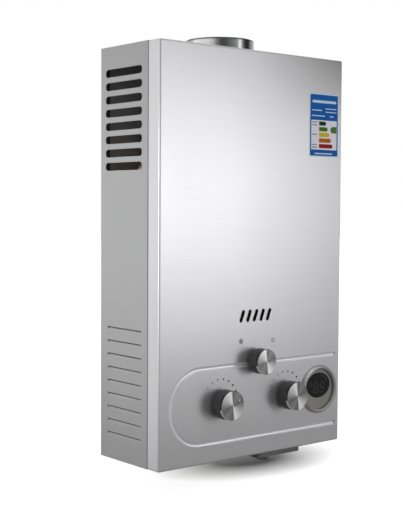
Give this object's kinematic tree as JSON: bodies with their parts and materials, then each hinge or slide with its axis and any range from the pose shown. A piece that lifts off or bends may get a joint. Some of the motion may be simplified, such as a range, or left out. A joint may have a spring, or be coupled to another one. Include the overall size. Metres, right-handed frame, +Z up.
{
  "type": "tankless gas water heater",
  "caption": "Wall-hung tankless gas water heater with a brushed steel cover, louvred grey sides, three control knobs, a round display and a flue collar on top.",
  "frame": {"origin": "centre of the four wall-fixing holes, on the wall", "axes": "+X to the right seen from the front, +Y back to the wall, +Z up"},
  "size_m": [0.3, 0.15, 0.551],
  "materials": {
    "brushed_cover": "horizontal brushing",
    "grey_paint": "satin",
    "zinc_steel": "zinc plated",
    "hood_steel": "plain",
    "collar_steel": "satin",
    "copper": "bare copper",
    "brass": "machined",
    "cast_alloy": "die cast",
    "burner_steel": "plain",
    "rubber": "matte",
    "knob_plastic": "fine satin",
    "cap_metal": "spun circles",
    "bezel_metal": "satin",
    "display_plastic": "satin",
    "display_black": "gloss",
    "housing_plastic": "matte",
    "ceramic": "glazed",
    "cell_jacket": "printed jacket",
    "spring_steel": "bright"
  },
  "bodies": {
    "casing": {"back_panel": "grey_paint", "battery_box": "housing_plastic", "battery_cells": "cell_jacket", "bottom_panel": "grey_paint", "burner_bars": "burner_steel", "burner_tray": "burner_steel", "cell_contacts": "zinc_steel", "cold_inlet_nipple": "brass", "cold_riser": "copper", "diaphragm": "rubber", "diaphragm_cover": "cast_alloy", "display_bezel": "bezel_metal", "display_housing": "housing_plastic", "display_plate": "display_plastic", "display_window": "display_black", "door_pin": "zinc_steel", "draft_hood": "hood_steel", "drain_valve": "brass", "electrodes": "ceramic", "exchanger_shell": "copper", "fin_stack": "copper", "fin_tubes": "copper", "flue_collar": "collar_steel", "front_cover": "brushed_cover", "gas_inlet_nipple": "brass", "gas_manifold": "cast_alloy", "gas_pipe": "copper", "gas_valve_body": "cast_alloy", "hot_outlet_nipple": "brass", "hot_pipe": "copper", "igniter_box": "housing_plastic", "left_side_panel": "grey_paint", "micro_switch": "housing_plastic", "overheat_cutout": "housing_plastic", "return_headers": "copper", "right_side_panel": "grey_paint", "season_cock": "brass", "shell_brackets": "zinc_steel", "solenoid_coil": "housing_plastic", "tie_bars": "zinc_steel", "top_panel": "grey_paint", "valve_spring": "spring_steel", "wall_rails": "zinc_steel", "water_valve_body": "brass"},
    "gas_knob_body": {"gas_knob": "knob_plastic", "gas_knob_cap": "cap_metal", "gas_spindle": "brass"},
    "water_knob_body": {"water_knob": "knob_plastic", "water_knob_cap": "cap_metal", "water_spindle": "brass"},
    "season_knob_body": {"season_knob": "knob_plastic", "season_knob_cap": "cap_metal", "season_spindle": "brass"},
    "battery_door_body": {"battery_door": "housing_plastic", "door_contact": "zinc_steel"},
    "drain_knob_body": {"drain_knob": "housing_plastic"},
    "push_rod_body": {"push_rod": "spring_steel", "gas_valve_disc": "rubber"},
    "switch_lever_body": {"switch_lever": "zinc_steel"},
    "plunger_body": {"solenoid_plunger": "spring_steel"}
  },
  "joints": [
    {"name": "gas_knob_turn", "type": "hinge", "parent": "casing", "child": "gas_knob_body", "pos_m": [-0.055, -0.128, -0.179], "axis": [0, -1, 0], "range_deg": [-23, 147]},
    {"name": "water_knob_turn", "type": "hinge", "parent": "casing", "child": "water_knob_body", "pos_m": [0.053, -0.128, -0.179], "axis": [0, -1, 0], "range_deg": [-147, 23]},
    {"name": "season_knob_turn", "type": "hinge", "parent": "casing", "child": "season_knob_body", "pos_m": [0, -0.128, -0.131], "axis": [0, -1, 0], "range_deg": [-90, 0]},
    {"name": "battery_door_swing", "type": "hinge", "parent": "casing", "child": "battery_door_body", "pos_m": [0.0655, -0.0638, -0.2615], "axis": [1, 0, 0], "range_deg": [0, 95]},
    {"name": "drain_knob_turn", "type": "hinge", "parent": "casing", "child": "drain_knob_body", "pos_m": [0.095, -0.04, -0.267], "axis": [0, 0, 1], "range_deg": [0, 180]},
    {"name": "push_rod_slide", "type": "slide", "parent": "casing", "child": "push_rod_body", "axis": [-1, 0, 0], "range_m": [0, 0.003], "stiffness_N_per_m": 400, "springref_m": -0.004, "deforming": ["valve_spring"]},
    {"name": "switch_lever_swing", "type": "hinge", "parent": "casing", "child": "switch_lever_body", "pos_m": [-0.0048, -0.04, -0.159], "axis": [0, 1, 0], "range_deg": [0, 10.5]},
    {"name": "solenoid_slide", "type": "slide", "parent": "casing", "child": "plunger_body", "axis": [-1, 0, 0], "range_m": [0, 0.0025], "stiffness_N_per_m": 300, "springref_m": -0.004}
  ],
  "couplings": [
    {"joint": "switch_lever_swing", "follows": "push_rod_slide", "rad_per_m": 59}
  ]
}
